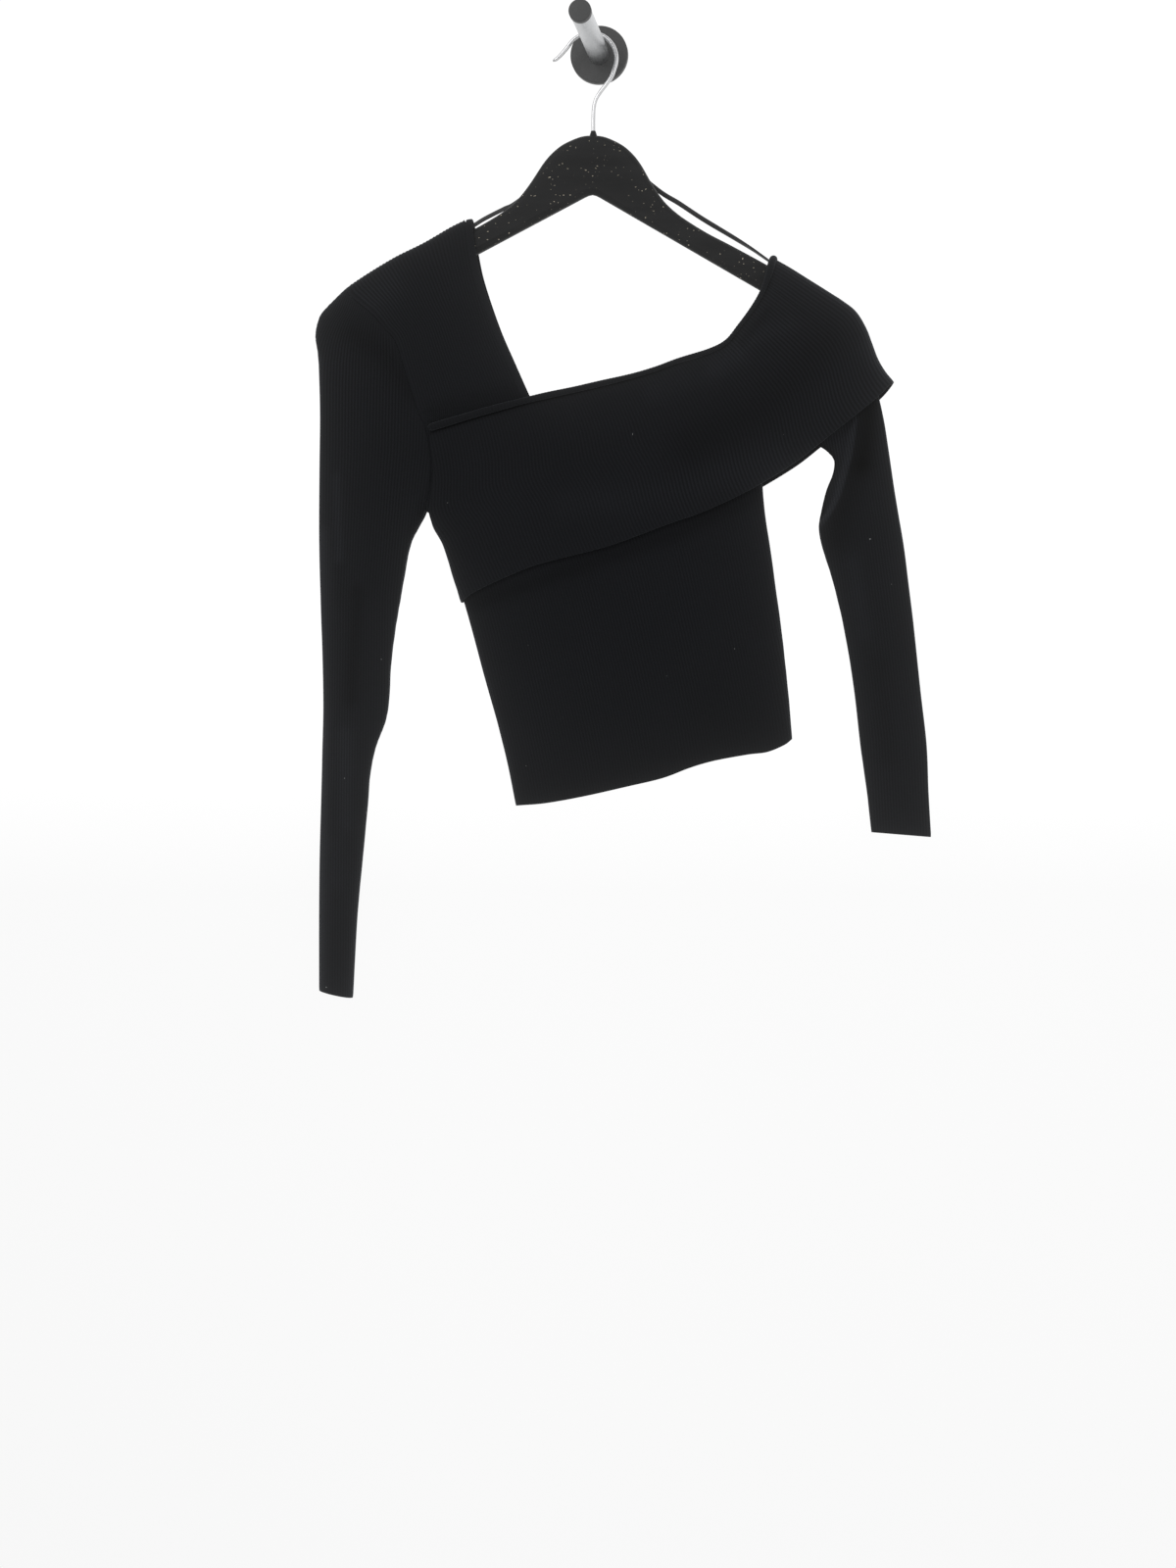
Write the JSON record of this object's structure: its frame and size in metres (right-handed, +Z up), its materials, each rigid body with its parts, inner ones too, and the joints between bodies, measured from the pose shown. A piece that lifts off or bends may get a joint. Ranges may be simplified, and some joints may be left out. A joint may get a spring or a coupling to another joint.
{
  "type": "sweater on hanger",
  "caption": "Cropped ribbed long-sleeve sweater with a slanted fold-over neck band, on a hanger hooked over a wall peg.",
  "frame": {"origin": "centre of the peg flange's back face, on the wall", "axes": "+Z up, +X to the right as seen from the room, +Y into the wall"},
  "size_m": [0.5071, 0.134, 0.8083],
  "materials": {
    "knit": "fine rib knit, matte black",
    "ribbon": "smooth black ribbon",
    "hanger_wood": "black with pale flecks, satin",
    "hook_wire": "bright",
    "peg_rod": "satin",
    "peg_dark": "dark grey"
  },
  "bodies": {
    "root": {"band": "knit", "body_back": "knit", "body_front": "knit", "hanger": "hanger_wood", "hanging_loop_left": "ribbon", "hanging_loop_right": "ribbon", "hook": "hook_wire", "hook_ferrule": "hanger_wood", "neck_roll": "knit", "neck_trim": "knit", "peg_cap": "peg_dark", "peg_flange": "peg_dark", "peg_rod": "peg_rod", "sleeve_left": "knit", "sleeve_right": "knit"}
  },
  "joints": []
}
